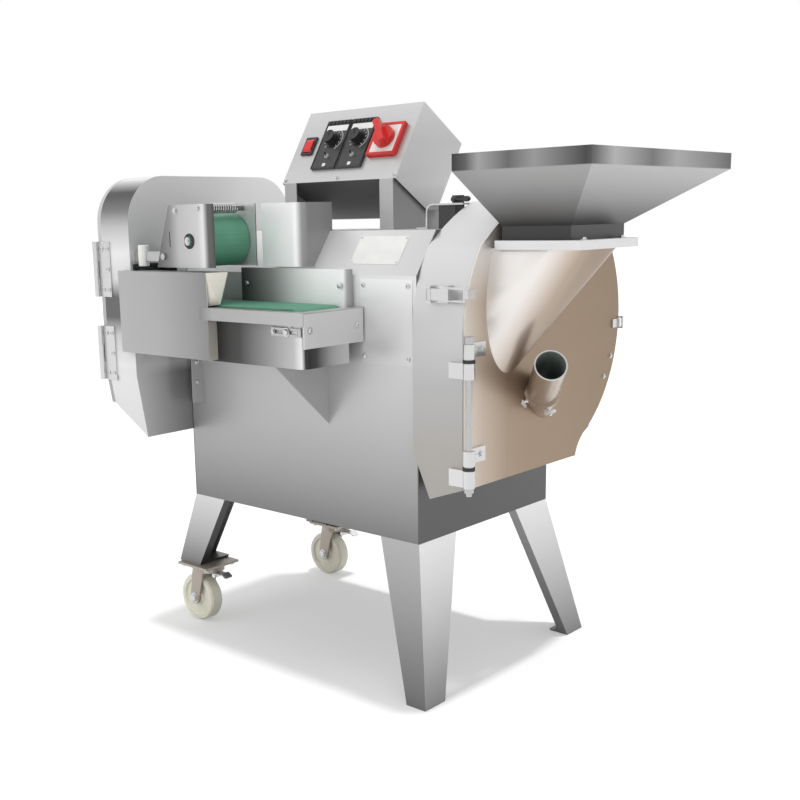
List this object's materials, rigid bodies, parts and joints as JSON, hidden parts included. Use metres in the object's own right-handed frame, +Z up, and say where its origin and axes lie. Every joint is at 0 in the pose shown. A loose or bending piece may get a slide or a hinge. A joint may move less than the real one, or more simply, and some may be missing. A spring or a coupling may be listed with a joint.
{
  "type": "industrial vegetable dicer",
  "caption": "Floor-standing stainless vegetable dicer with a belt-fed leaf cutter at one end, a hopper-fed bulb cutter at the other and a tilted control box on top.",
  "frame": {"origin": "centre of the bounding box at floor level", "axes": "+X towards the hopper end, +Y towards the back, +Z up"},
  "size_m": [1.028, 0.652, 1.0444],
  "materials": {
    "stainless": "brushed",
    "door_steel": "satin",
    "bright_steel": "turned",
    "wheel_nylon": "moulded",
    "belt_green": "matt",
    "black_plastic": "moulded",
    "red_plastic": "moulded",
    "white_plastic": "moulded",
    "motor_paint": "satin"
  },
  "bodies": {
    "cabinet": {"cabinet_wrap": "stainless", "cabinet_ends": "stainless", "rear_panel": "stainless", "base_pan": "stainless", "access_panel": "stainless", "fixed_legs": "stainless", "caster_legs": "stainless", "caster_plates": "stainless", "leaf_housing": "stainless", "leaf_hinge": "stainless", "bulb_drum": "stainless", "drum_hinge": "stainless", "drum_pin": "bright_steel", "latch_bases": "stainless", "conveyor_pan": "stainless", "conveyor_belt": "belt_green", "conveyor_tray": "stainless", "end_plate": "stainless", "belt_guard": "stainless", "feed_cover": "stainless", "gussets": "stainless", "press_pivot": "bright_steel", "press_cover": "stainless", "control_pedestal": "stainless", "control_box": "stainless", "control_back": "stainless", "speed_units": "black_plastic", "switch_bases": "white_plastic", "interlock_bracket": "stainless", "interlock_switch": "black_plastic", "motors": "motor_paint"},
    "caster_front": {"caster_fork_front": "stainless"},
    "wheel_front": {"caster_wheel_front": "wheel_nylon"},
    "caster_rear": {"caster_fork_rear": "stainless"},
    "wheel_rear": {"caster_wheel_rear": "wheel_nylon"},
    "lid": {"leaf_lid": "stainless", "lid_hinge": "stainless"},
    "leaf_rotor": {"leaf_knives": "stainless", "leaf_shaft": "bright_steel"},
    "door": {"bulb_door": "door_steel", "door_hinge": "stainless", "door_catches": "stainless", "feed_scoop": "door_steel", "feed_tube": "stainless", "hopper_flange": "stainless", "hopper": "stainless"},
    "bulb_rotor": {"bulb_disc": "stainless", "bulb_shaft": "bright_steel"},
    "front_latch": {"latch_front": "stainless"},
    "back_latch": {"latch_back": "stainless"},
    "lid_latch": {"latch_lid": "stainless"},
    "belt_drive": {"drive_roller": "bright_steel"},
    "belt_idler": {"idle_roller": "bright_steel"},
    "press_arm": {"press_frame": "stainless"},
    "press_drum": {"press_roller": "belt_green"},
    "knob_left": {"speed_knob_left": "black_plastic"},
    "knob_right": {"speed_knob_right": "black_plastic"},
    "rocker_key": {"rocker": "red_plastic"},
    "main_grip": {"main_switch": "red_plastic"},
    "sensor_arm": {"interlock_lever": "black_plastic"}
  },
  "joints": [
    {"name": "door_hinge", "type": "hinge", "parent": "cabinet", "child": "door", "pos_m": [0.3121, -0.188, 0.5], "axis": [0, 0, 1], "range_deg": [-105, 0]},
    {"name": "lid_hinge", "type": "hinge", "parent": "cabinet", "child": "lid", "pos_m": [-0.508, -0.314, 0.64], "axis": [0, 0, 1], "range_deg": [0, 105]},
    {"name": "front_latch", "type": "hinge", "parent": "cabinet", "child": "front_latch", "pos_m": [0.236, -0.1935, 0.714], "axis": [0, 0, 1], "range_deg": [-100, 0]},
    {"name": "back_latch", "type": "hinge", "parent": "cabinet", "child": "back_latch", "pos_m": [0.236, 0.3215, 0.629], "axis": [0, 0, 1], "range_deg": [0, 100]},
    {"name": "lid_latch", "type": "hinge", "parent": "cabinet", "child": "lid_latch", "pos_m": [-0.442, 0.1385, 0.696], "axis": [0, 0, 1], "range_deg": [-100, 0]},
    {"name": "leaf_spin", "type": "hinge", "parent": "cabinet", "child": "leaf_rotor", "pos_m": [-0.446, -0.077, 0.715], "axis": [1, 0, 0], "continuous": true},
    {"name": "bulb_spin", "type": "hinge", "parent": "cabinet", "child": "bulb_rotor", "pos_m": [0.254, 0.064, 0.646], "axis": [1, 0, 0], "continuous": true},
    {"name": "belt_drive", "type": "hinge", "parent": "cabinet", "child": "belt_drive", "pos_m": [0.024, -0.248, 0.666], "axis": [0, 1, 0], "continuous": true},
    {"name": "belt_idler", "type": "hinge", "parent": "cabinet", "child": "belt_idler", "pos_m": [-0.38, -0.248, 0.666], "axis": [0, 1, 0], "continuous": true},
    {"name": "press_lift", "type": "hinge", "parent": "cabinet", "child": "press_arm", "pos_m": [-0.306, -0.248, 0.775], "axis": [0, -1, 0], "range_deg": [0, 12]},
    {"name": "press_spin", "type": "hinge", "parent": "press_arm", "child": "press_drum", "pos_m": [-0.231, -0.248, 0.803], "axis": [0, 1, 0], "continuous": true},
    {"name": "caster_front_swivel", "type": "hinge", "parent": "cabinet", "child": "caster_front", "pos_m": [-0.381, -0.168, 0.1], "axis": [0, 0, 1], "continuous": true},
    {"name": "caster_front_roll", "type": "hinge", "parent": "caster_front", "child": "wheel_front", "pos_m": [-0.406, -0.168, 0.05], "axis": [0, 1, 0], "continuous": true},
    {"name": "caster_rear_swivel", "type": "hinge", "parent": "cabinet", "child": "caster_rear", "pos_m": [-0.381, 0.232, 0.1], "axis": [0, 0, 1], "continuous": true},
    {"name": "caster_rear_roll", "type": "hinge", "parent": "caster_rear", "child": "wheel_rear", "pos_m": [-0.406, 0.232, 0.05], "axis": [0, 1, 0], "continuous": true},
    {"name": "speed_left", "type": "hinge", "parent": "cabinet", "child": "knob_left", "pos_m": [-0.142, -0.01094, 0.98809], "axis": [0, -0.848, 0.5299], "range_deg": [-135, 135]},
    {"name": "speed_right", "type": "hinge", "parent": "cabinet", "child": "knob_right", "pos_m": [-0.077, -0.01094, 0.98809], "axis": [0, -0.848, 0.5299], "range_deg": [-135, 135]},
    {"name": "rocker_tip", "type": "hinge", "parent": "cabinet", "child": "rocker_key", "pos_m": [-0.204, -0.00882, 0.97733], "axis": [1, 0, 0], "range_deg": [-8, 8]},
    {"name": "main_turn", "type": "hinge", "parent": "cabinet", "child": "main_grip", "pos_m": [-0.004, -0.01433, 0.98078], "axis": [0, -0.848, 0.5299], "range_deg": [-90, 0]},
    {"name": "sensor_tip", "type": "hinge", "parent": "cabinet", "child": "sensor_arm", "pos_m": [0.148, -0.012, 0.867], "axis": [0, 1, 0], "range_deg": [-12, 0], "stiffness_Nm_per_rad": 0.05}
  ],
  "couplings": [
    {"joint": "belt_idler", "follows": "belt_drive", "ratio": 1}
  ]
}
